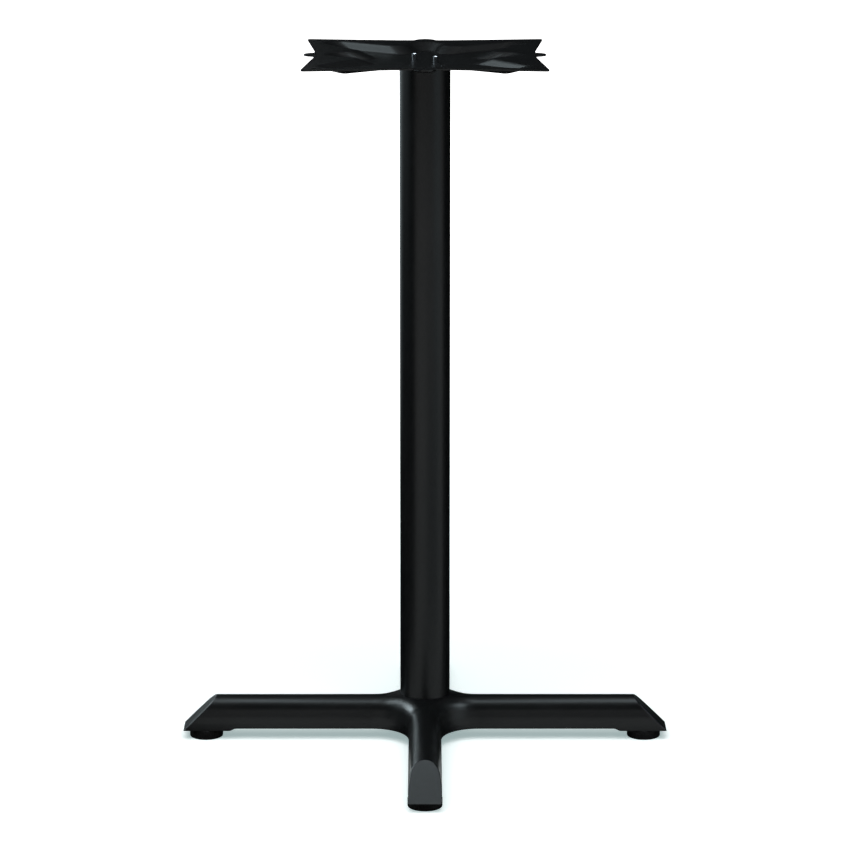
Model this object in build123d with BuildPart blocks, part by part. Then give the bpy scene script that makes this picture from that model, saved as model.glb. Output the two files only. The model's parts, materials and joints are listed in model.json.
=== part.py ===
# Standing-height table base with a cast cross foot, one round column and a stamped spider on top.
# Millimetres, +Z up. The origin is on the floor, under the column's axis. The arms lie along X and Y.
from build123d import *
import os
from math import cos, hypot, radians, sin, tan

# Overall sizes
overall_height = 1044.0
foot_spread = 735.0
column_diameter = 75.0
column_wall = 2.0

# Foot casting: the arms' section, seen from the end of an arm
arm_width = 49.2
arm_height = 64.5
arm_underside = 18.0
skirt_height = 31.0
arm_lean = 10.0
crown_radius = 21.0
crown_land = 1.0
skirt_round = 60.0

# Foot casting: plan, toes and hub
crotch_radius = 57.0
end_cut_angle = 45.0
end_edge_round = 1.6
toe_length = 67.5
toe_blend = 13.0
flare_reach = 31.0
flare_rise = 3.8
socket_depth = 10.5
hub_floor = 14.0
hub_block_radius = 60.0

# Foot casting: hollow underside
casting_wall = 6.0
casting_roof = 7.0
toe_wall = 4.0
rib_thickness = 5.0
rib_rise = 8.0
first_rib_radius = 130.0
rib_spacing = 85.0
rib_count = 2

# Glides that level the base
glide_diameter = 50.5
glide_height = 14.0
glide_inset = 34.0
glide_sole_round = 2.0
glide_rim_chamfer = 1.0
grip_groove_count = 48
grip_groove_radius = 0.8
grip_groove_depth = 0.5
glide_head_width = 13.0
glide_head_height = 5.5
stud_diameter = 8.0
stud_reach = 20.0
stud_tip_chamfer = 1.0

# Spider: one sheet stamping, with a pressing that is drawn to the width of the sheet
spider_width = 355.0
sheet_thickness = 2.3
spider_corner_round = 5.0
side_dip = 15.0
side_flat = 80.0
lug_radius = 15.0
lug_blend = 6.0
dish_depth = 10.6
corner_land = 0.121 * spider_width
long_flute_root = 0.141 * spider_width
long_flute_tip = 0.056 * spider_width
long_flute_ramp = 0.113 * spider_width
long_floor_root = 0.096 * spider_width
long_floor_tip = 0.025 * spider_width
side_land = 0.046 * spider_width
short_flute_root = 0.096 * spider_width
short_flute_tip = 0.076 * spider_width
short_flute_ramp = 0.096 * spider_width
short_floor_root = 0.056 * spider_width
short_floor_tip = 0.037 * spider_width
ridge_round = 0.056 * spider_width
land_edge_round = 0.050 * spider_width
floor_edge_round = 0.045 * spider_width
screw_hole_diameter = 7.0
corner_hole_inset = 18.75

# Tie rods and what holds them
rod_diameter = 8.0
rod_offset = 15.5
rod_stand = 10.0
rod_tail = 3.0
rod_end_chamfer = 0.8
cap_plate_thickness = 8.0
washer_diameter = 16.0
washer_thickness = 1.6
spring_washer_diameter = 14.0
spring_washer_thickness = 2.0
spring_washer_split = 1.5
nut_width = 13.0
nut_height = 6.5

# Clearances, all on the radius or on one side
column_fit = 0.15
thread_fit = 0.05
rod_hole_fit = 0.5
washer_fit = 0.2
glide_seat_gap = 0.3
stud_hole_end_gap = 2.0

# Places worked out from the sizes
column_radius = column_diameter / 2
column_bore_radius = column_radius - column_wall
rod_radius = rod_diameter / 2
stud_radius = stud_diameter / 2
glide_radius = glide_diameter / 2
arm_reach = foot_spread / 2
glide_circle_radius = arm_reach - glide_inset
toe_underside = glide_height + glide_seat_gap
toe_radius = arm_reach - toe_length
channel_reach = glide_circle_radius - glide_radius - toe_wall
roof_underside = arm_height - casting_roof
crown_turn = tan(radians(45 - arm_lean / 2))
crown_half_width = arm_width / 2 - (arm_height - skirt_height) * tan(radians(arm_lean))
crown_round = min(crown_radius, (crown_half_width - crown_land) / crown_turn)
roof_half_width = arm_width / 2 - casting_wall - (roof_underside - skirt_height) * tan(radians(arm_lean))
roof_round = min(crown_radius - casting_wall, (roof_half_width - crown_land) / crown_turn)
flare_radius = column_radius + flare_reach
rim_height = arm_height + flare_rise
socket_floor = rim_height - socket_depth
hub_underside = socket_floor - hub_floor
blank_height = rim_height + column_radius
dish_floor = overall_height - dish_depth
dish_underside = dish_floor - sheet_thickness
spider_underside = overall_height - sheet_thickness
spider_half = spider_width / 2
side_face = spider_half - side_dip
long_flute_end = hypot(spider_half, spider_half) - corner_land
short_flute_end = side_face - side_land
corner_hole_spacing = spider_width - 2 * corner_hole_inset
rod_top = dish_floor + rod_stand
washer_face = hub_underside - washer_thickness
spring_face = washer_face - spring_washer_thickness
nut_face = spring_face - nut_height
rod_bottom = nut_face - rod_tail
rod_places = [(-rod_offset, rod_offset), (rod_offset, -rod_offset)]
arm_angles = {"right": 0, "rear": 90, "left": 180, "front": 270}


def arm_plane(angle):
    """Upright plane through the column's axis: its x runs out along an arm, its y runs up."""
    turn = radians(angle)
    return Plane(origin=(0, 0, 0), x_dir=(cos(turn), sin(turn), 0), z_dir=(sin(turn), -cos(turn), 0))


def cross_outline(height, reach, inset):
    """Plan of the four arms at a height, drawn in by an inset, with the round crotches between them."""
    with BuildSketch(Plane.XY.offset(height)) as outline:
        Rectangle(2 * reach, arm_width - 2 * inset)
        Rectangle(arm_width - 2 * inset, 2 * reach)
        crotches = outline.vertices().sort_by_distance((0, 0, height))[:len(arm_angles)]
        fillet(crotches, crotch_radius + inset)
    return outline.sketch


def flute(root_radius, tip_radius, end):
    """Plan of one flute along X: it narrows from a round root at the axis to a round tip."""
    with BuildSketch() as outline:
        Circle(root_radius)
        with Locations((end - tip_radius, 0)):
            Circle(tip_radius)
        make_hull(outline.edges())
    return outline.sketch


def flute_outline(height, long_flute, short_flute, swell):
    """Plan of the pressing at a height: four long and four short flutes, made wider by a swell."""
    with BuildSketch(Plane.XY.offset(height)) as outline:
        for (root_radius, tip_radius, end), first_angle in ((long_flute, 45), (short_flute, 0)):
            with PolarLocations(0, 4, start_angle=first_angle):
                add(flute(root_radius + swell, tip_radius + swell, end + swell))
        ridge_tips = outline.vertices().sort_by_distance((0, 0, height))[:8]
        fillet(ridge_tips, ridge_round - swell)
    return outline.sketch


def pressed_form(top, swell, edge_round):
    """The dish with its eight flutes as one solid that hangs from a plane."""
    with BuildPart() as form:
        loft([
            flute_outline(top, (long_flute_root, long_flute_tip, long_flute_end),
                          (short_flute_root, short_flute_tip, short_flute_end), swell),
            flute_outline(top - dish_depth,
                          (long_floor_root, long_floor_tip, long_flute_end - long_flute_ramp),
                          (short_floor_root, short_floor_tip, short_flute_end - short_flute_ramp), swell),
        ], ruled=True)
        fillet(form.edges().group_by(Axis.Z)[0], edge_round)
    return form.part


# The hollow under the foot: four channels that end at the toes, stopped by the hub and by cross ribs
with BuildPart() as foot_core:
    extrude(cross_outline(toe_underside, channel_reach, casting_wall), amount=skirt_height - toe_underside)
    extrude(cross_outline(skirt_height, channel_reach, casting_wall),
            amount=roof_underside - skirt_height, taper=arm_lean)
    fillet(foot_core.edges().group_by(Axis.Z)[-1], roof_round)
    with BuildSketch(Plane.XY.offset(hub_underside)):
        Circle(hub_block_radius)
    extrude(amount=blank_height - hub_underside, mode=Mode.SUBTRACT)
    with BuildSketch(Plane.XY.offset(arm_underside + rib_rise)):
        for rib in range(rib_count):
            with PolarLocations(first_rib_radius + rib * rib_spacing, len(arm_angles)):
                Rectangle(rib_thickness, arm_width)
    extrude(amount=arm_height - arm_underside - rib_rise, mode=Mode.SUBTRACT)

# Foot: one casting
with BuildPart() as foot_casting:
    # Straight skirt, then sides that lean in
    extrude(cross_outline(toe_underside, arm_reach, 0), amount=skirt_height - toe_underside)
    extrude(cross_outline(skirt_height, arm_reach, 0), amount=blank_height - skirt_height, taper=arm_lean)
    # Level arm tops that sweep up to the column
    with BuildSketch(Plane.XZ):
        with BuildLine():
            floor_line = Line((0, 0), (foot_spread, 0))
            end_line = Line(floor_line @ 1, (foot_spread, arm_height))
            level_line = Line(end_line @ 1, (flare_radius, arm_height))
            flare_arc = TangentArc(level_line @ 1, (column_radius, rim_height), tangent=(-1, 0))
            flare_slope = abs((flare_arc % 1).Y / (flare_arc % 1).X)
            peak_line = Line(flare_arc @ 1, (0, rim_height + column_radius * flare_slope))
            Line(peak_line @ 1, floor_line @ 0)
        make_face()
    revolve(axis=Axis.Z, mode=Mode.INTERSECT)
    # Round shoulders that run from arm to arm through the crotches
    fillet(foot_casting.edges().filter_by(GeomType.BSPLINE), crown_round)
    skirt_edges = foot_casting.edges().filter_by_position(Axis.Z, skirt_height, skirt_height)
    fillet(skirt_edges.filter_by(GeomType.CIRCLE), skirt_round)
    # Arm ends cut off by a slanted plane
    cut_rise = blank_height - toe_underside
    with BuildSketch(*[arm_plane(angle) for angle in arm_angles.values()]):
        with BuildLine():
            Polyline(
                (arm_reach, toe_underside),
                (arm_reach - cut_rise / tan(radians(end_cut_angle)), blank_height),
                (foot_spread, blank_height),
                (foot_spread, toe_underside),
                close=True,
            )
        make_face()
    extrude(amount=arm_width, both=True, mode=Mode.SUBTRACT)
    end_slope = cos(radians(end_cut_angle))
    end_faces = foot_casting.faces().filter_by(
        lambda face: face.geom_type == GeomType.PLANE and abs(face.normal_at().Z - end_slope) < 0.01
    )
    fillet([edge for face in end_faces for edge in face.edges().sort_by(Axis.Z)[1:]], end_edge_round)
    # Underside raised between the toes
    with BuildSketch(Plane.XZ):
        with BuildLine():
            inner_radius = toe_radius - toe_blend
            middle = ((inner_radius + toe_radius) / 2, (arm_underside + toe_underside) / 2)
            ceiling = Line((0, arm_underside), (inner_radius, arm_underside))
            upper_bend = TangentArc(ceiling @ 1, middle, tangent=(1, 0))
            lower_bend = TangentArc(upper_bend @ 1, (toe_radius, toe_underside), tangent=upper_bend % 1)
            Polyline(lower_bend @ 1, (toe_radius, 0), (0, 0), ceiling @ 0)
        make_face()
    revolve(axis=Axis.Z, mode=Mode.SUBTRACT)
    add(foot_core.part, mode=Mode.SUBTRACT)
    # Socket for the column, holes for the rods, tapped holes for the glides
    with BuildSketch(Plane.XY.offset(socket_floor)):
        Circle(column_radius + column_fit)
    extrude(amount=blank_height - socket_floor, mode=Mode.SUBTRACT)
    with BuildSketch(Plane.XY.offset(hub_underside)):
        with Locations(*rod_places):
            Circle(rod_radius + rod_hole_fit)
    extrude(amount=hub_floor, mode=Mode.SUBTRACT)
    with BuildSketch(Plane.XY.offset(toe_underside)):
        with PolarLocations(glide_circle_radius, len(arm_angles)):
            Circle(stud_radius + thread_fit)
    extrude(amount=stud_reach + stud_hole_end_gap, mode=Mode.SUBTRACT)

# Column: a plain tube that stands in the foot's socket and carries the spider's dish
with BuildPart() as column_tube:
    with BuildSketch(Plane.XY.offset(socket_floor)):
        Circle(column_radius)
        Circle(column_bore_radius, mode=Mode.SUBTRACT)
    extrude(amount=dish_underside - socket_floor)

# Disc under the dish: it closes the tube and holds the rods' plain tops
with BuildPart() as column_cap_plate:
    with BuildSketch(Plane.XY.offset(dish_underside)):
        Circle(column_bore_radius - column_fit)
        with Locations(*rod_places):
            Circle(rod_radius + thread_fit, mode=Mode.SUBTRACT)
    extrude(amount=-cap_plate_thickness)

# Spider: a sheet pressed down into a dish with eight flutes, then trimmed to a square with drawn-in sides
flute_run = long_flute_tip - long_floor_tip
wall_swell = sheet_thickness * (hypot(dish_depth, flute_run) - flute_run) / dish_depth
with BuildPart() as spider_plate:
    with BuildSketch(Plane.XY.offset(spider_underside)):
        Rectangle(2 * spider_width, 2 * spider_width)
    extrude(amount=sheet_thickness)
    add(pressed_form(spider_underside, wall_swell, floor_edge_round + sheet_thickness))
    add(pressed_form(overall_height, 0, floor_edge_round), mode=Mode.SUBTRACT)
    # Soft edges where the level lands turn down into the flutes; the four longest edges are the blank's
    for height, edge_round in (
        (overall_height, land_edge_round),
        (spider_underside, land_edge_round - sheet_thickness),
    ):
        level_edges = spider_plate.edges().filter_by_position(Axis.Z, height, height)
        fillet(level_edges.sort_by(SortBy.LENGTH)[:-4], edge_round)
    with BuildSketch(Plane.XY.offset(dish_underside)) as spider_outline:
        with BuildLine():
            side_points = [
                (side_face, -side_flat / 2),
                (side_face, side_flat / 2),
                (spider_half, spider_half),
            ]
            Polyline([Vector(x, y).rotate(Axis.Z, angle) for angle in arm_angles.values()
                      for x, y in side_points], close=True)
        make_face()
        fillet(spider_outline.vertices().sort_by_distance((0, 0, dish_underside))[-4:], spider_corner_round)
        with PolarLocations(side_face, 4):
            Circle(lug_radius)
        fillet(spider_outline.vertices().sort_by_distance((0, 0, dish_underside))[:8], lug_blend)
    extrude(amount=overall_height - dish_underside, mode=Mode.INTERSECT)
    with BuildSketch(Plane.XY.offset(spider_underside)):
        with PolarLocations(side_face, 4):
            Circle(screw_hole_diameter / 2)
        with GridLocations(corner_hole_spacing, corner_hole_spacing, 2, 2):
            Circle(screw_hole_diameter / 2)
    extrude(amount=sheet_thickness, mode=Mode.SUBTRACT)
    with BuildSketch(Plane.XY.offset(dish_underside)):
        with Locations(*rod_places):
            Circle(rod_radius + rod_hole_fit)
    extrude(amount=sheet_thickness, mode=Mode.SUBTRACT)

# Two rods from under the hub to the spider's dish
with BuildPart() as tie_rods:
    with BuildSketch(Plane.XY.offset(rod_bottom)):
        with Locations(*rod_places):
            Circle(rod_radius)
    extrude(amount=rod_top - rod_bottom)
    chamfer(tie_rods.edges().filter_by(GeomType.CIRCLE), rod_end_chamfer)

with BuildPart() as rod_washers:
    with BuildSketch(Plane.XY.offset(washer_face)):
        with Locations(*rod_places):
            Circle(washer_diameter / 2)
            Circle(rod_radius + washer_fit, mode=Mode.SUBTRACT)
    extrude(amount=washer_thickness)

with BuildPart() as rod_spring_washers:
    with BuildSketch(Plane.XY.offset(spring_face)):
        with Locations(*rod_places):
            Circle(spring_washer_diameter / 2)
            Circle(rod_radius + washer_fit, mode=Mode.SUBTRACT)
        with Locations(*[(x + spring_washer_diameter / 4, y) for x, y in rod_places]):
            Rectangle(spring_washer_diameter / 2, spring_washer_split, mode=Mode.SUBTRACT)
    extrude(amount=spring_washer_thickness)

with BuildPart() as rod_nuts:
    with BuildSketch(Plane.XY.offset(nut_face)):
        with Locations(*rod_places):
            RegularPolygon(nut_width / 2, 6, major_radius=False)
            Circle(rod_radius + thread_fit, mode=Mode.SUBTRACT)
    extrude(amount=nut_height)

pieces = {
    "foot_casting": foot_casting.part,
    "column_tube": column_tube.part,
    "column_cap_plate": column_cap_plate.part,
    "spider_plate": spider_plate.part,
    "tie_rods": tie_rods.part,
    "rod_washers": rod_washers.part,
    "rod_spring_washers": rod_spring_washers.part,
    "rod_nuts": rod_nuts.part,
}

# A glide under each toe: a ribbed pad moulded round the hexagon head of a threaded stud
for side, angle in arm_angles.items():
    centre = Vector(glide_circle_radius, 0, 0).rotate(Axis.Z, angle)
    upright = Plane(origin=centre, x_dir=(1, 0, 0), z_dir=(0, -1, 0))

    with BuildPart() as glide_pad:
        with BuildSketch(upright):
            with Locations((glide_radius / 2, glide_height / 2)):
                Rectangle(glide_radius, glide_height)
        revolve(axis=Axis(centre, (0, 0, 1)))
        fillet(glide_pad.edges().group_by(Axis.Z)[0], glide_sole_round)
        chamfer(glide_pad.edges().group_by(Axis.Z)[-1], glide_rim_chamfer)
        with BuildSketch(Plane(origin=centre)):
            with PolarLocations(glide_radius + grip_groove_radius - grip_groove_depth, grip_groove_count):
                Circle(grip_groove_radius)
        extrude(amount=glide_height, mode=Mode.SUBTRACT)
        with BuildSketch(Plane(origin=centre).offset(glide_height - glide_head_height)):
            RegularPolygon(glide_head_width / 2, 6, major_radius=False)
        extrude(amount=glide_head_height, mode=Mode.SUBTRACT)

    with BuildPart() as glide_stud:
        with BuildSketch(Plane(origin=centre).offset(glide_height - glide_head_height)):
            RegularPolygon(glide_head_width / 2, 6, major_radius=False)
        extrude(amount=glide_head_height)
        with BuildSketch(Plane(origin=centre).offset(glide_height)):
            Circle(stud_radius)
        extrude(amount=glide_seat_gap + stud_reach)
        chamfer(glide_stud.edges().group_by(Axis.Z)[-1], stud_tip_chamfer)

    pieces[f"glide_pad_{side}"] = glide_pad.part
    pieces[f"glide_stud_{side}"] = glide_stud.part

os.makedirs("parts", exist_ok=True)
for name, piece in pieces.items():
    piece.label = name
    export_step(piece, f"parts/{name}.step")
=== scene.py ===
# %% [markdown]
# # A standing-height table base
# The real thing is four kinds of metalwork in one black coat: a cast cross foot, a drawn tube, a pressed
# spider that takes the table top, and zinc-plated rods that pull the three together. Nylon glides under
# the toes level it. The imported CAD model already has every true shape, so this lesson keeps its meshes,
# gives each a finish, and adds by hand only what CAD leaves plain: the screw threads.

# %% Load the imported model
import bpy
import json
from math import cos, pi, radians, sin, sqrt
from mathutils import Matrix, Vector

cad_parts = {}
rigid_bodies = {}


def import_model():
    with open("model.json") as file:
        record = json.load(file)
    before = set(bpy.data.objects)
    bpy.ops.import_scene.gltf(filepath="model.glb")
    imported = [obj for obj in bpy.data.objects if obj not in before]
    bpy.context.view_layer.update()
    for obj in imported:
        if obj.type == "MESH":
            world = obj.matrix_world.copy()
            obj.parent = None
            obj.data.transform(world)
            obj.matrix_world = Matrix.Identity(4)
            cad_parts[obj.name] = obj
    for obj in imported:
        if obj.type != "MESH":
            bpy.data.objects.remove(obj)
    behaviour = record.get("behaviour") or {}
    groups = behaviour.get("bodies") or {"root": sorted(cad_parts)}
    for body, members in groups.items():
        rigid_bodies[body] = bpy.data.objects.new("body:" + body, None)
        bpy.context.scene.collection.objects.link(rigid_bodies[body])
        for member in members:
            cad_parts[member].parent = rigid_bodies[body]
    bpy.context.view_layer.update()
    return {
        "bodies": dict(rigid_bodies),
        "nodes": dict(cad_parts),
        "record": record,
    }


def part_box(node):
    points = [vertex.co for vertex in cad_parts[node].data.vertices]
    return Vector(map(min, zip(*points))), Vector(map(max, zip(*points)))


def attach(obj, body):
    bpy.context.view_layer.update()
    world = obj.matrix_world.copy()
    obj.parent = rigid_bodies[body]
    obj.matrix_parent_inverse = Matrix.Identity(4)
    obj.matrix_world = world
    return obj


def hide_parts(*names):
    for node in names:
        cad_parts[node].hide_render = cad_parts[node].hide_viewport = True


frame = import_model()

MM = 0.001
scene = bpy.context.scene

# %% [markdown]
# ## Small helpers
# A colour is easiest to read as the hex value that a paint program shows, but shaders mix light, so it has
# to be turned from sRGB to linear first. The second helper adds one node to any tree, with its settings and
# its links, and serves the shaders and the Geometry Nodes alike. The third starts a material from nothing.

# %% Colour, node and material helpers
def linear(hex_colour):
    """Linear RGBA of an sRGB hex colour such as #1A1B1D."""
    channels = [int(hex_colour[at:at + 2], 16) / 255 for at in (1, 3, 5)]
    return [c / 12.92 if c <= 0.04045 else ((c + 0.055) / 1.055) ** 2.4 for c in channels] + [1.0]


def add_node(tree, kind, settings=None, links=None):
    """One node: settings name its attributes or inputs, links name the inputs that other sockets feed."""
    node = tree.nodes.new(kind)
    for name, value in (settings or {}).items():
        if isinstance(name, int) or name in node.inputs:
            node.inputs[name].default_value = value
        else:
            setattr(node, name, value)
    for name, source in (links or {}).items():
        tree.links.new(source, node.inputs[name])
    return node


def new_material(name):
    """An empty material: itself, its tree, its Surface input, and the Object coordinates of its patterns."""
    material = bpy.data.materials.new(name)
    material.use_nodes = True
    tree = material.node_tree
    tree.nodes.clear()
    output = add_node(tree, "ShaderNodeOutputMaterial")
    place = add_node(tree, "ShaderNodeTexCoord").outputs["Object"]
    return material, tree, output.inputs["Surface"], place


# %% [markdown]
# ## Black powder coat
# Epoxy-polyester powder is sprayed on dry and melts in an oven. It never flows out quite flat, so a close
# look shows orange peel: shallow dimples a millimetre or two across. On sand-cast iron the mould's grain
# still swells through it, on drawn tube it lies smoother, and on pressed sheet it is thinnest and glossiest.
# One recipe makes all three, because it is one paint: two layers of noise as bump, and one slow noise that
# mixes two blacks and lets the gloss wander with them. A Mix node has a set of sockets for each kind of
# value, so the numbers of its colour sockets get names.

# %% Powder coat on iron, tube and sheet
MIX_FACTOR, MIX_A, MIX_B, MIX_RESULT = 0, 6, 7, 2
COAT_CLOUD = 60 * MM
CLOUD_LOW, CLOUD_HIGH = 0.3, 0.7
COAT_IOR = 1.5


def powder_coat(name, peel_size, peel_depth, swell_size, swell_depth, smoothest, roughest, shine):
    """Black powder coat: dimples and swells in mm, both ends of its roughness, and how much it mirrors."""
    material, tree, surface, place = new_material(name)
    cloud = add_node(tree, "ShaderNodeTexNoise", {"Scale": 1 / COAT_CLOUD, "Detail": 3.0}, {"Vector": place})
    tone = add_node(tree, "ShaderNodeMix", {
        "data_type": "RGBA", MIX_A: linear("#070809"), MIX_B: linear("#0B0C0D"),
    }, {MIX_FACTOR: cloud.outputs["Fac"]})
    gloss = add_node(tree, "ShaderNodeMapRange", {
        "From Min": CLOUD_LOW, "From Max": CLOUD_HIGH, "To Min": smoothest, "To Max": roughest,
    }, {"Value": cloud.outputs["Fac"]})
    swell = add_node(tree, "ShaderNodeTexNoise", {
        "Scale": 1 / (swell_size * MM), "Detail": 1.0,
    }, {"Vector": place})
    peel = add_node(tree, "ShaderNodeTexNoise", {
        "Scale": 1 / (peel_size * MM), "Detail": 1.0,
    }, {"Vector": place})
    wave = add_node(tree, "ShaderNodeBump", {"Distance": swell_depth * MM}, {"Height": swell.outputs["Fac"]})
    dimple = add_node(tree, "ShaderNodeBump", {"Distance": peel_depth * MM}, {
        "Height": peel.outputs["Fac"], "Normal": wave.outputs["Normal"],
    })
    coat = add_node(tree, "ShaderNodeBsdfPrincipled", {"IOR": COAT_IOR, "Specular IOR Level": shine}, {
        "Base Color": tone.outputs[MIX_RESULT], "Roughness": gloss.outputs["Result"],
        "Normal": dimple.outputs["Normal"],
    })
    tree.links.new(coat.outputs["BSDF"], surface)
    return material


coated_iron = powder_coat(
    "powder_coat_on_cast_iron", peel_size=2.2, peel_depth=0.03, swell_size=9.0, swell_depth=0.10,
    smoothest=0.30, roughest=0.37, shine=0.22)
coated_tube = powder_coat(
    "powder_coat_on_drawn_tube", peel_size=1.8, peel_depth=0.012, swell_size=14.0, swell_depth=0.02,
    smoothest=0.32, roughest=0.38, shine=0.175)
coated_sheet = powder_coat(
    "powder_coat_on_pressed_sheet", peel_size=1.8, peel_depth=0.012, swell_size=11.0, swell_depth=0.03,
    smoothest=0.30, roughest=0.35, shine=0.22)
print("Powder coats:", coated_iron.name, coated_tube.name, coated_sheet.name)

# %% [markdown]
# ## Zinc-plated steel
# Rods, nuts and washers come bright-zinc plated and blue-passivated: a cool grey metal, a little cloudy where
# the bath was uneven, with fine turning marks that make the shine break up. Metal needs no more than a base
# colour and a roughness, both stirred by noise, and a trace of bump for the marks.

# %% Zinc plating
BATH_CLOUD = 4 * MM
TURNING_MARK = 0.5 * MM
TURNING_DEPTH = 0.01 * MM


def zinc_plating(name):
    """Bright zinc over steel, cloudy over a few millimetres."""
    material, tree, surface, place = new_material(name)
    cloud = add_node(tree, "ShaderNodeTexNoise", {"Scale": 1 / BATH_CLOUD, "Detail": 4.0}, {"Vector": place})
    tone = add_node(tree, "ShaderNodeMix", {
        "data_type": "RGBA", MIX_A: linear("#A9AEB6"), MIX_B: linear("#D5D9DE"),
    }, {MIX_FACTOR: cloud.outputs["Fac"]})
    gloss = add_node(tree, "ShaderNodeMapRange", {
        "To Min": 0.16, "To Max": 0.26,
    }, {"Value": cloud.outputs["Fac"]})
    grit = add_node(tree, "ShaderNodeTexNoise", {"Scale": 1 / TURNING_MARK, "Detail": 2.0}, {"Vector": place})
    bump = add_node(tree, "ShaderNodeBump", {"Distance": TURNING_DEPTH}, {"Height": grit.outputs["Fac"]})
    metal = add_node(tree, "ShaderNodeBsdfPrincipled", {"Metallic": 1.0}, {
        "Base Color": tone.outputs[MIX_RESULT], "Roughness": gloss.outputs["Result"],
        "Normal": bump.outputs["Normal"],
    })
    tree.links.new(metal.outputs["BSDF"], surface)
    return material


bright_zinc = zinc_plating("bright_zinc_on_steel")
print("Metal:", bright_zinc.name)

# %% [markdown]
# ## Moulded nylon
# The glides are black nylon 6, moulded in a spark-eroded tool that leaves an even matt grain. The grain is
# about 0.2 mm wide, too fine for the picture, so it is drawn at 0.6 mm.

# %% Nylon
GRAIN_SIZE = 0.6 * MM
GRAIN_DEPTH = 0.03 * MM
NYLON_CLOUD = 12 * MM


def moulded_nylon(name):
    """Matt black nylon with the grain of a spark-eroded mould."""
    material, tree, surface, place = new_material(name)
    grain = add_node(tree, "ShaderNodeTexVoronoi", {"Scale": 1 / GRAIN_SIZE}, {"Vector": place})
    bump = add_node(tree, "ShaderNodeBump", {"Distance": GRAIN_DEPTH}, {"Height": grain.outputs["Distance"]})
    cloud = add_node(tree, "ShaderNodeTexNoise", {"Scale": 1 / NYLON_CLOUD, "Detail": 2.0}, {"Vector": place})
    gloss = add_node(tree, "ShaderNodeMapRange", {
        "To Min": 0.5, "To Max": 0.66,
    }, {"Value": cloud.outputs["Fac"]})
    nylon = add_node(tree, "ShaderNodeBsdfPrincipled", {
        "Base Color": linear("#0A0A0B"), "IOR": 1.53, "Specular IOR Level": 0.2,
    }, {"Roughness": gloss.outputs["Result"], "Normal": bump.outputs["Normal"]})
    tree.links.new(nylon.outputs["BSDF"], surface)
    return material


black_nylon = moulded_nylon("moulded_black_nylon")
print("Plastic:", black_nylon.name)

# %% [markdown]
# ## Finishes on the CAD pieces
# Each CAD mesh arrives with the plain material of its record slot. Its shape is right, so it stays where it
# is, and only the material in its slot changes.

# %% Give every CAD node its finish
finishes = {
    "coated_casting": coated_iron,
    "coated_tube": coated_tube,
    "coated_sheet": coated_sheet,
    "zinc_steel": bright_zinc,
    "moulded_nylon": black_nylon,
}
for subpart in frame["record"]["subparts"]:
    mesh = frame["nodes"][subpart["node"]].data
    for at in range(len(mesh.materials)):
        mesh.materials[at] = finishes[subpart["material_slot"]]

# %% [markdown]
# ## Screw threads
# The lower ends of the rods and the glides' studs are M8 screws. A thread is a ridge that follows a helix, so
# Geometry Nodes fits it: a Spiral curve carries a three-cornered profile round a core. One tree makes a bar
# with a head, a thread, a plain shank and a chamfered tip, any of which may have no length, and puts it on
# every point that it is given. The tree starts with named inputs, so that one tree serves rods and studs.

# %% An empty tree with its inputs
bar_tree = bpy.data.node_groups.new("threaded_bar", "GeometryNodeTree")
bar_tree.interface.new_socket("Places", in_out="INPUT", socket_type="NodeSocketGeometry")
for name in ("Length", "Thread Length", "Pitch", "Crest Radius", "Thread Depth", "Tip Chamfer",
             "Head Width", "Head Height"):
    bar_tree.interface.new_socket(name, in_out="INPUT", socket_type="NodeSocketFloat")
bar_tree.interface.new_socket("Finish", in_out="INPUT", socket_type="NodeSocketMaterial")
bar_tree.interface.new_socket("Bars", in_out="OUTPUT", socket_type="NodeSocketGeometry")
given = add_node(bar_tree, "NodeGroupInput").outputs
print("Inputs of a threaded bar:", [socket.name for socket in given if socket.name])

# %% [markdown]
# ### Sums
# Radii, lengths and middles follow from the inputs. Each line of the table becomes one Math node: its name,
# what it does, and two terms. A term is a number, an input of the tree, or the name of an earlier line.

# %% Sums from a table
RIDGE_SHARE = 0.5
HALF = 0.5
size = {socket.name: socket for socket in given if socket.name}
for name, operation, *terms in (
    ("turns", "DIVIDE", "Thread Length", "Pitch"),
    ("ridge size", "MULTIPLY", "Pitch", RIDGE_SHARE),
    ("ridge radius", "SUBTRACT", "Crest Radius", "ridge size"),
    ("core radius", "SUBTRACT", "Crest Radius", "Thread Depth"),
    ("core middle", "MULTIPLY", "Thread Length", HALF),
    ("tip foot", "SUBTRACT", "Length", "Tip Chamfer"),
    ("shank length", "SUBTRACT", "tip foot", "Thread Length"),
    ("shank ends", "ADD", "tip foot", "Thread Length"),
    ("shank middle", "MULTIPLY", "shank ends", HALF),
    ("tip radius", "SUBTRACT", "Crest Radius", "Tip Chamfer"),
    ("head radius", "MULTIPLY", "Head Width", 1 / sqrt(3)),
    ("head middle", "MULTIPLY", "Head Height", -HALF),
):
    numbers = {at: term for at, term in enumerate(terms) if not isinstance(term, str)}
    sockets = {at: size[term] for at, term in enumerate(terms) if isinstance(term, str)}
    size[name] = add_node(bar_tree, "ShaderNodeMath", {"operation": operation, **numbers}, sockets).outputs[0]
print("Sizes known in the tree:", len(size))

# %% [markdown]
# ### The ridge
# A circle of three points is a triangle, and Curve to Mesh sweeps it along the helix, kept upright. A rolled
# thread has a pointed ridge that dies out at both ends. Here one side of the triangle faces outwards and its
# size stays the same, so the ridge is flat-topped, 7.4 mm across and blunt at its ends, a plain stand-in.

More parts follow.
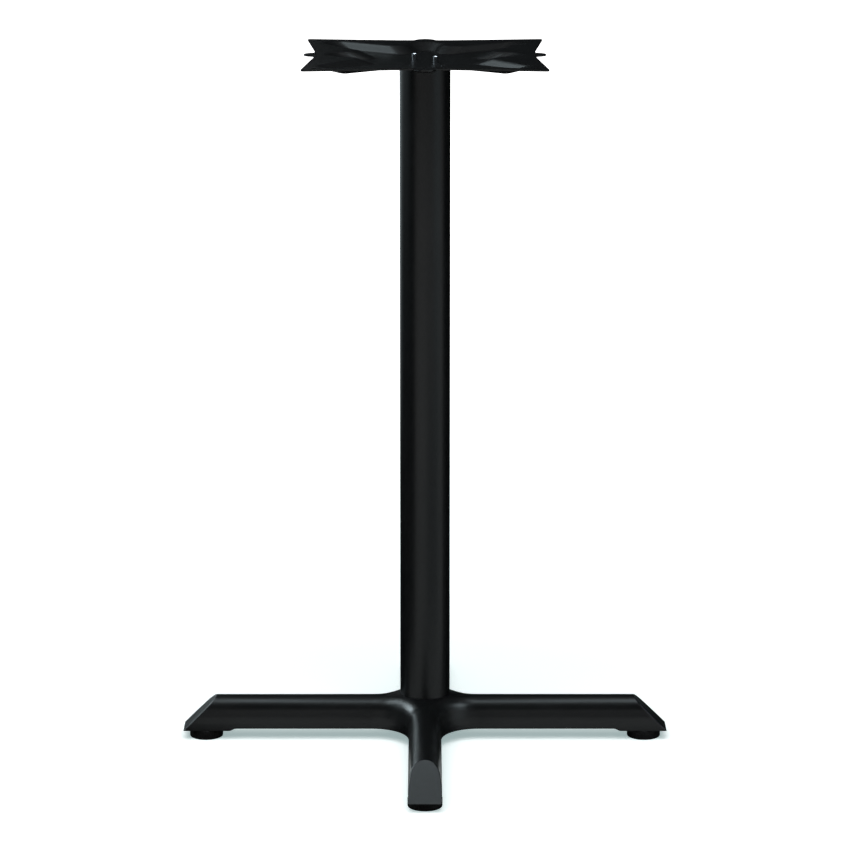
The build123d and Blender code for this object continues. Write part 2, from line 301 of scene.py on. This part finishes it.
# %% Ridge on its helix
TURN_POINTS = 32
PROFILE_CORNERS = 3
helix = add_node(bar_tree, "GeometryNodeCurveSpiral", {"Resolution": TURN_POINTS}, {
    "Rotations": size["turns"], "Height": size["Thread Length"],
    "Start Radius": size["ridge radius"], "End Radius": size["ridge radius"],
})
upright = add_node(bar_tree, "GeometryNodeSetCurveNormal", {"mode": "Z_UP"}, {"Curve": helix.outputs[0]})
profile = add_node(bar_tree, "GeometryNodeCurvePrimitiveCircle", {"Resolution": PROFILE_CORNERS}, {
    "Radius": size["ridge size"],
})
ridge = add_node(bar_tree, "GeometryNodeCurveToMesh", {"Fill Caps": True}, {
    "Curve": upright.outputs[0], "Profile Curve": profile.outputs[0],
})
print("Ridge:", PROFILE_CORNERS, "corners,", TURN_POINTS, "points a turn")

# %% [markdown]
# ### The solid bar
# Core, shank, tip and head are plain cylinders and a cone. A cylinder is made about its own middle and a cone
# on its foot, so each is lifted to its place along the bar. The hexagon is turned by 30 degrees as well,
# which its pocket in the pad is not.

# %% Core, shank, tip and head
HEXAGON = 6
HEXAGON_TURN = radians(30)
core = add_node(bar_tree, "GeometryNodeMeshCylinder", {"Vertices": TURN_POINTS}, {
    "Radius": size["core radius"], "Depth": size["Thread Length"],
})
shank = add_node(bar_tree, "GeometryNodeMeshCylinder", {"Vertices": TURN_POINTS}, {
    "Radius": size["Crest Radius"], "Depth": size["shank length"],
})
tip = add_node(bar_tree, "GeometryNodeMeshCone", {"Vertices": TURN_POINTS}, {
    "Radius Bottom": size["Crest Radius"], "Radius Top": size["tip radius"], "Depth": size["Tip Chamfer"],
})
head = add_node(bar_tree, "GeometryNodeMeshCylinder", {"Vertices": HEXAGON}, {
    "Radius": size["head radius"], "Depth": size["Head Height"],
})
bar = add_node(bar_tree, "GeometryNodeJoinGeometry")
bar_tree.links.new(ridge.outputs[0], bar.inputs[0])
for solid, height, turn in (
    (core, "core middle", 0.0), (shank, "shank middle", 0.0), (tip, "tip foot", 0.0),
    (head, "head middle", HEXAGON_TURN),
):
    lift = add_node(bar_tree, "ShaderNodeCombineXYZ", {}, {"Z": size[height]})
    lifted = add_node(bar_tree, "GeometryNodeTransform", {"Rotation": (0, 0, turn)}, {
        "Geometry": solid.outputs["Mesh"], "Translation": lift.outputs[0],
    })
    bar_tree.links.new(lifted.outputs[0], bar.inputs[0])
print("Joined in a bar:", len(bar.inputs[0].links), "meshes")

# %% [markdown]
# ### Shading and places
# Round sides shade smooth, and edges that turn by more than 35 degrees stay sharp. The bar then stands on
# every point, and is made real geometry with its finish on it, because the export drops instances.

# %% Sharp edges, places and finish
SHARP_ANGLE = radians(35)
smooth = add_node(bar_tree, "GeometryNodeSetShadeSmooth", {}, {"Geometry": bar.outputs[0]})
steep = add_node(bar_tree, "FunctionNodeCompare", {"operation": "GREATER_THAN", 1: SHARP_ANGLE}, {
    0: add_node(bar_tree, "GeometryNodeInputMeshEdgeAngle").outputs["Unsigned Angle"],
})
crisp = add_node(bar_tree, "GeometryNodeSetShadeSmooth", {"domain": "EDGE", "Shade Smooth": False}, {
    "Geometry": smooth.outputs[0], "Selection": steep.outputs[0],
})
stood = add_node(bar_tree, "GeometryNodeInstanceOnPoints", {}, {
    "Points": given["Places"], "Instance": crisp.outputs[0],
})
realised = add_node(bar_tree, "GeometryNodeRealizeInstances", {}, {"Geometry": stood.outputs[0]})
finished = add_node(bar_tree, "GeometryNodeSetMaterial", {}, {
    "Geometry": realised.outputs[0], "Material": given["Finish"],
})
add_node(bar_tree, "NodeGroupOutput", {}, {"Bars": finished.outputs[0]})
print("Threaded bar tree:", len(bar_tree.nodes), "nodes")

# %% [markdown]
# ## Rods and studs
# The places and lengths come from the CAD nodes that the screws stand for. A mesh of bare points carries the
# tree; its result is copied into a plain mesh, which rides on its body and replaces the plain CAD cylinder.
# The carrier's empty material slot comes along in the copy, so it is dropped.

# %% A piece of threaded bars
def threaded_bars(name, body, node, points, sizes):
    """Threaded bars on some points, standing for a CAD node."""
    carrier_mesh = bpy.data.meshes.new(name + "_points")
    carrier_mesh.from_pydata(points, [], [])
    carrier = bpy.data.objects.new(name + "_points", carrier_mesh)
    scene.collection.objects.link(carrier)
    modifier = carrier.modifiers.new("bars", "NODES")
    modifier.node_group = bar_tree
    for socket in bar_tree.interface.items_tree:
        if socket.name in sizes:
            modifier[socket.identifier] = sizes[socket.name]
    shown = carrier.evaluated_get(bpy.context.evaluated_depsgraph_get())
    piece = bpy.data.objects.new(name, bpy.data.meshes.new_from_object(shown))
    bpy.data.objects.remove(carrier)
    for at in reversed(range(len(piece.data.materials))):
        if piece.data.materials[at] is None:
            piece.data.materials.pop(index=at)
    scene.collection.objects.link(piece)
    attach(piece, body)
    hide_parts(node)
    print(name, len(piece.data.polygons), "faces, materials", [m.name for m in piece.data.materials])


# %% [markdown]
# ### Two rods, four studs
# All are M8 with a pitch of 1.25 mm. A rod has no head and is threaded only where its nut runs. A stud has a
# hexagon head, which the pad is moulded round, and is threaded up to its tip.

# %% Put the bars in place
SCREW_RADIUS = 4.0 * MM
TIP_CHAMFER = 0.8 * MM
ROD_THREAD = 30 * MM
HEAD_WIDTH = 13 * MM
HEAD_HEIGHT = 5.5 * MM
screw_sizes = {
    "Pitch": 1.25 * MM, "Thread Depth": 0.7 * MM, "Crest Radius": SCREW_RADIUS, "Tip Chamfer": TIP_CHAMFER,
    "Head Width": 0.0, "Head Height": 0.0, "Finish": bright_zinc,
}
low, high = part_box("tie_rods")
threaded_bars("threaded_tie_rods", "stand", "tie_rods", [
    (low.x + SCREW_RADIUS, high.y - SCREW_RADIUS, low.z),
    (high.x - SCREW_RADIUS, low.y + SCREW_RADIUS, low.z),
], {**screw_sizes, "Length": high.z - low.z, "Thread Length": ROD_THREAD})

for body in frame["bodies"]:
    if body.endswith("_glide"):
        side = body.removesuffix("_glide")
        low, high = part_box("glide_stud_" + side)
        stud_length = high.z - low.z - HEAD_HEIGHT
        threaded_bars("threaded_stud_" + side, body, "glide_stud_" + side, [
            ((low.x + high.x) / 2, (low.y + high.y) / 2, low.z + HEAD_HEIGHT),
        ], {**screw_sizes, "Length": stud_length, "Thread Length": stud_length - 2 * TIP_CHAMFER,
            "Head Width": HEAD_WIDTH, "Head Height": HEAD_HEIGHT})

# %% [markdown]
# ## Floor
# The base stands on plain white, with only a soft shadow close under it. A floor that lamps alone light
# would fall off to grey towards the back of the picture. So the floor is pale and matt, and it also gives
# off light of its own towards the camera and towards mirrors: a little near the object, where the shadow has
# to show, and full white far away. The near light is faintly cool, because the shadow is. From about half a
# metre out the camera alone sees some more white, which clears the last grey and gets into no mirror.

# %% Floor sheet
FLOOR_REACH = 30.0
floor_mesh = bpy.data.meshes.new("floor")
floor_mesh.from_pydata([
    (x * FLOOR_REACH, y * FLOOR_REACH, 0) for x, y in ((-1, -1), (1, -1), (1, 1), (-1, 1))
], [], [(0, 1, 2, 3)])
floor = bpy.data.objects.new("floor", floor_mesh)
scene.collection.objects.link(floor)
print("Floor", 2 * FLOOR_REACH, "m wide")

# %% How much light the floor gives off, and to which rays
SHADOW_REACH = 0.9
WHITE_REACH = 3.5
FLOOR_GLOW = 0.40
CLEAR_START = 0.45
CLEAR_END = 1.1
CLEAR_GLOW = 0.6
white_floor, tree, surface, place = new_material("white_studio_floor")
distance = add_node(tree, "ShaderNodeVectorMath", {"operation": "LENGTH"}, {0: place}).outputs["Value"]
away = add_node(tree, "ShaderNodeMapRange", {
    "interpolation_type": "SMOOTHSTEP", "From Min": SHADOW_REACH, "From Max": WHITE_REACH,
}, {"Value": distance}).outputs["Result"]
glow = add_node(tree, "ShaderNodeMapRange", {"To Min": FLOOR_GLOW, "To Max": 1.0}, {"Value": away})
ray = add_node(tree, "ShaderNodeLightPath").outputs
seen = add_node(tree, "ShaderNodeMath", {"operation": "ADD"}, {
    0: ray["Is Camera Ray"], 1: ray["Is Glossy Ray"],
})
seen = add_node(tree, "ShaderNodeMath", {"operation": "ADD", "use_clamp": True}, {
    0: seen.outputs[0], 1: ray["Is Transmission Ray"],
})
strength = add_node(tree, "ShaderNodeMath", {"operation": "MULTIPLY"}, {
    0: glow.outputs["Result"], 1: seen.outputs[0],
})
clear = add_node(tree, "ShaderNodeMapRange", {
    "interpolation_type": "SMOOTHSTEP", "From Min": CLEAR_START, "From Max": CLEAR_END, "To Max": CLEAR_GLOW,
}, {"Value": distance})
strength = add_node(tree, "ShaderNodeMath", {"operation": "MULTIPLY_ADD"}, {
    0: clear.outputs["Result"], 1: ray["Is Camera Ray"], 2: strength.outputs[0],
})
print("Floor glows from", FLOOR_GLOW, "near the object to 1.0 at", WHITE_REACH, "m")

# %% Floor colour, and the cool tint of its glow
# Near the object the glow is tinted cool, which paints a cool tone into the floor's shadow; far off it is
# white.
shade_tinted_glow = add_node(tree, "ShaderNodeMix", {
    "data_type": "RGBA", MIX_A: linear("#E4FFFF"), MIX_B: linear("#FFFFFF"),
}, {MIX_FACTOR: away})
matt = add_node(tree, "ShaderNodeBsdfDiffuse", {"Color": linear("#F2F2F2")})
white = add_node(tree, "ShaderNodeEmission", {}, {
    "Color": shade_tinted_glow.outputs[MIX_RESULT], "Strength": strength.outputs[0],
})
both = add_node(tree, "ShaderNodeAddShader", {}, {0: matt.outputs[0], 1: white.outputs[0]})
tree.links.new(both.outputs[0], surface)
floor_mesh.materials.append(white_floor)
print("Floor material:", len(tree.nodes), "nodes")

# %% [markdown]
# ## Light
# A black gloss is drawn by what it mirrors, a white floor by what falls on it, so each has a lamp of its own.
# The softbox hangs above, a little towards the camera, and only mirrors see it: it draws the line along the
# arms' shoulders and fills the slanted arm ends. The silk in front lights the floor and throws the soft
# shadow, and no mirror sees it.

# %% Softbox and silk
LIGHT_TINT = linear("#E8F9FF")


def softbox(name, place, target, width, height, radiance):
    """A rectangular lamp that faces a point. Its radiance is what a mirror would show of it."""
    lamp = bpy.data.lights.new(name, "AREA")
    lamp.shape = "RECTANGLE"
    lamp.size = width
    lamp.size_y = height
    lamp.energy = radiance * pi * width * height
    box = bpy.data.objects.new(name, lamp)
    box.location = place
    box.rotation_euler = (Vector(target) - Vector(place)).to_track_quat("-Z", "Y").to_euler()
    box.visible_camera = False
    scene.collection.objects.link(box)
    return box


shine_box = softbox("overhead_softbox", place=(0, -0.6, 3.2), target=(0, -0.3, 0),
                    width=2.0, height=1.9, radiance=5.0)
shine_box.visible_diffuse = False
shine_box.data.color = LIGHT_TINT[:3]
shade_box = softbox("overhead_silk", place=(-0.2, -1.6, 3.0), target=(0, -0.2, 0),
                    width=3.4, height=3.4, radiance=3.1)
shade_box.visible_glossy = False
print("Lamps:", [lamp.name for lamp in bpy.data.lights])

# %% [markdown]
# ### World
# The world fills the shadows with an even light, and is white where the camera looks past the floor.

# %% World
WORLD_FILL = 0.32
world = bpy.data.worlds.new("studio")
scene.world = world
world.use_nodes = True
tree = world.node_tree
tree.nodes.clear()
seen = add_node(tree, "ShaderNodeLightPath").outputs["Is Camera Ray"]
level = add_node(tree, "ShaderNodeMapRange", {"To Min": WORLD_FILL, "To Max": 1.0}, {"Value": seen})
fill = add_node(tree, "ShaderNodeBackground", {"Color": linear("#FFFFFF")}, {
    "Strength": level.outputs["Result"],
})
add_node(tree, "ShaderNodeOutputWorld", {}, {"Surface": fill.outputs[0]})
print("World fills with", WORLD_FILL)

# %% [markdown]
# ## Cloth and cards
# On an all-white floor a black tube would mirror white along both edges and look thin and grey. In a studio,
# black cloth stands round it, just out of the picture, and a white card only where a highlight has to run.
# Here only mirror rays see these sheets, so they throw no shadow and never show. Each is a strip of a ring:
# a profile of radii and heights, swept between two bearings. Light linking lets a card shine on one piece
# alone, so that the bright card for the foot doesn't turn the spider silver from the other side.

# %% Sheets that only mirrors see
SWEEP_STEPS = 24
BLACK = 0.01


def only_in_mirrors(sheet):
    """Stage sheet that no ray but a glossy one sees, so it throws no shadow and lights nothing else."""
    sheet.visible_camera = False
    sheet.visible_diffuse = False
    sheet.visible_shadow = False
    sheet.visible_transmission = False
    sheet.visible_volume_scatter = False
    scene.collection.objects.link(sheet)


def cloth(name, low_height, low_radiance, high_height, high_radiance):
    """A sheet's own light, even from side to side and graded from its low edge to its high one."""
    material, tree, surface, place = new_material(name)
    height = add_node(tree, "ShaderNodeSeparateXYZ", {}, {"Vector": place}).outputs["Z"]
    grade = add_node(tree, "ShaderNodeMapRange", {
        "From Min": low_height, "From Max": high_height, "To Min": low_radiance, "To Max": high_radiance,
    }, {"Value": height})
    shine = add_node(tree, "ShaderNodeEmission", {"Color": LIGHT_TINT}, {"Strength": grade.outputs[0]})
    tree.links.new(shine.outputs[0], surface)
    return material


def flag(name, profile, start, end, radiance=BLACK, high_radiance=None, lit_node=None):
    """A sheet swept from a profile of radii and heights. Bearing 0 is in front, and 90 is on the right."""
    bearings = [radians(start + (end - start) * step / SWEEP_STEPS) for step in range(SWEEP_STEPS + 1)]
    points = [(radius * sin(turn), -radius * cos(turn), height)
              for turn in bearings for radius, height in profile]
    rows = len(profile)
    faces = [(at * rows + row, at * rows + row + 1, (at + 1) * rows + row + 1, (at + 1) * rows + row)
             for at in range(SWEEP_STEPS) for row in range(rows - 1)]
    mesh = bpy.data.meshes.new(name)
    mesh.from_pydata(points, [], faces)
    high_radiance = radiance if high_radiance is None else high_radiance
    mesh.materials.append(cloth(name, profile[0][1], radiance, profile[-1][1], high_radiance))
    sheet = bpy.data.objects.new(name, mesh)
    only_in_mirrors(sheet)
    if lit_node:
        lit = bpy.data.collections.new(name + "_lights")
        lit.objects.link(frame["nodes"][lit_node])
        sheet.light_linking.receiver_collection = lit
    print(name, "from", start, "to", end, "degrees")


# %% [markdown]
# ### Black cloth
# Collars of cloth lie on the floor round the foot and rise beside and behind it, to a height of their own on
# each side. The valance hangs in front and on the right, and grey paper lies on the floor in front of the
# right arm, where the white floor would mirror too brightly.

# %% Collars, valance and paper
ON_FLOOR = 0.001
flag("right_collar", [(0.06, ON_FLOOR), (1.6, ON_FLOOR), (1.6, 0.9), (3.0, 2.0), (3.0, 4.2)], 88, 188)
flag("back_collar", [(0.06, ON_FLOOR), (5.1, ON_FLOOR), (5.1, 6.0)], 188, 210)
flag("low_collar", [(0.06, ON_FLOOR), (1.6, ON_FLOOR), (1.6, 0.9), (3.0, 2.0)], 210, 218)
flag("left_collar", [(0.06, ON_FLOOR), (3.1, ON_FLOOR), (3.1, 0.62)], 218, 268)
flag("side_collar", [(0.2, ON_FLOOR), (3.1, ON_FLOOR), (3.1, 0.62)], 268, 285)
flag("front_left_collar", [(0.45, ON_FLOOR), (3.1, ON_FLOOR), (3.1, 2.0)], 285, 315)
flag("black_valance", [(3.0, 0.7), (3.0, 2.6)], -45, 88, radiance=0.02)
flag("grey_paper", [(0.6, ON_FLOOR), (2.4, ON_FLOOR)], 8, 60, radiance=0.6)

# %% [markdown]
# ### White cards
# Each card is named for its place or for what it lights, and most shine on one piece alone. Two are graded
# from their low edge to their high one, so that the highlight fades.

# %% Cards
flag("left_card", [(3.05, 0.6), (3.05, 3.4)], -75, -142, radiance=1.6)
flag("crotch_card", [(3.0, 1.0), (3.0, 2.5)], -104, -136, radiance=13.0, lit_node="foot_casting")
flag("left_high_card", [(2.4, 2.3), (2.4, 4.2)], -72, -112, radiance=11.0, lit_node="foot_casting")
flag("flute_card", [(1.2, 1.9), (1.2, 2.75)], -95, -165, radiance=2.5, lit_node="spider_plate")
flag("right_low_card", [(2.4, 0.05), (2.4, 0.9)], 42, 72, radiance=1.0, high_radiance=2.6)
flag("right_high_card", [(2.4, 1.0), (2.4, 2.6)], 50, 80, radiance=9.0, lit_node="foot_casting")
flag("shoulder_card", [(5.0, 0.2), (5.0, 0.9)], -150, -172, radiance=0.6, lit_node="foot_casting")
flag("left_toe_card", [(3.0, 0.002), (3.0, 0.22)], -150, -176, radiance=3.0, lit_node="foot_casting")
flag("right_toe_card", [(1.5, 0.002), (1.5, 0.12)], 150, 176, radiance=0.7, lit_node="foot_casting")
flag("rim_card", [(1.0, 0.24), (1.0, 0.9)], -134, -166, radiance=0.15, high_radiance=1.6,
     lit_node="column_tube")

# %% [markdown]
# ### Black mat
# A black cross lies flat under the four arms, so that what faces down mirrors black and not the white floor.

# %% Mat under the arms
MAT_HALF_WIDTH = 0.065
MAT_REACH = 0.44
MAT_HEIGHT = 0.0004
mat_mesh = bpy.data.meshes.new("black_mat")
mat_mesh.from_pydata([
    (x, y, MAT_HEIGHT) for reach_x, reach_y in ((MAT_REACH, MAT_HALF_WIDTH), (MAT_HALF_WIDTH, MAT_REACH))
    for x, y in ((-reach_x, -reach_y), (reach_x, -reach_y), (reach_x, reach_y), (-reach_x, reach_y))
], [], [(0, 1, 2, 3), (4, 5, 6, 7)])
mat_mesh.materials.append(bpy.data.materials["right_collar"])
only_in_mirrors(bpy.data.objects.new("black_mat", mat_mesh))
print("Mat reaches", MAT_REACH, "m along each arm")

# %% [markdown]
# ## Camera
# The picture was taken from far off with a long lens, a little above the spider, looking slightly down. The
# values come from fitting the object's own outline: its known heights and widths fix where the camera stood.

# %% Camera
CAMERA_PLACE = (0.0, -5.462, 1.752)
CAMERA_PITCH = 13.047
CAMERA_LENS = 158.5
SENSOR_WIDTH = 36.0
camera_data = bpy.data.cameras.new("camera")
camera_data.sensor_fit = "HORIZONTAL"
camera_data.sensor_width = SENSOR_WIDTH
camera_data.lens = CAMERA_LENS
camera = bpy.data.objects.new("camera", camera_data)
camera.location = CAMERA_PLACE
camera.rotation_euler = (radians(90 - CAMERA_PITCH), 0, 0)
scene.collection.objects.link(camera)
scene.camera = camera
scene.view_settings.view_transform = "Standard"
print("Camera at", CAMERA_PLACE)
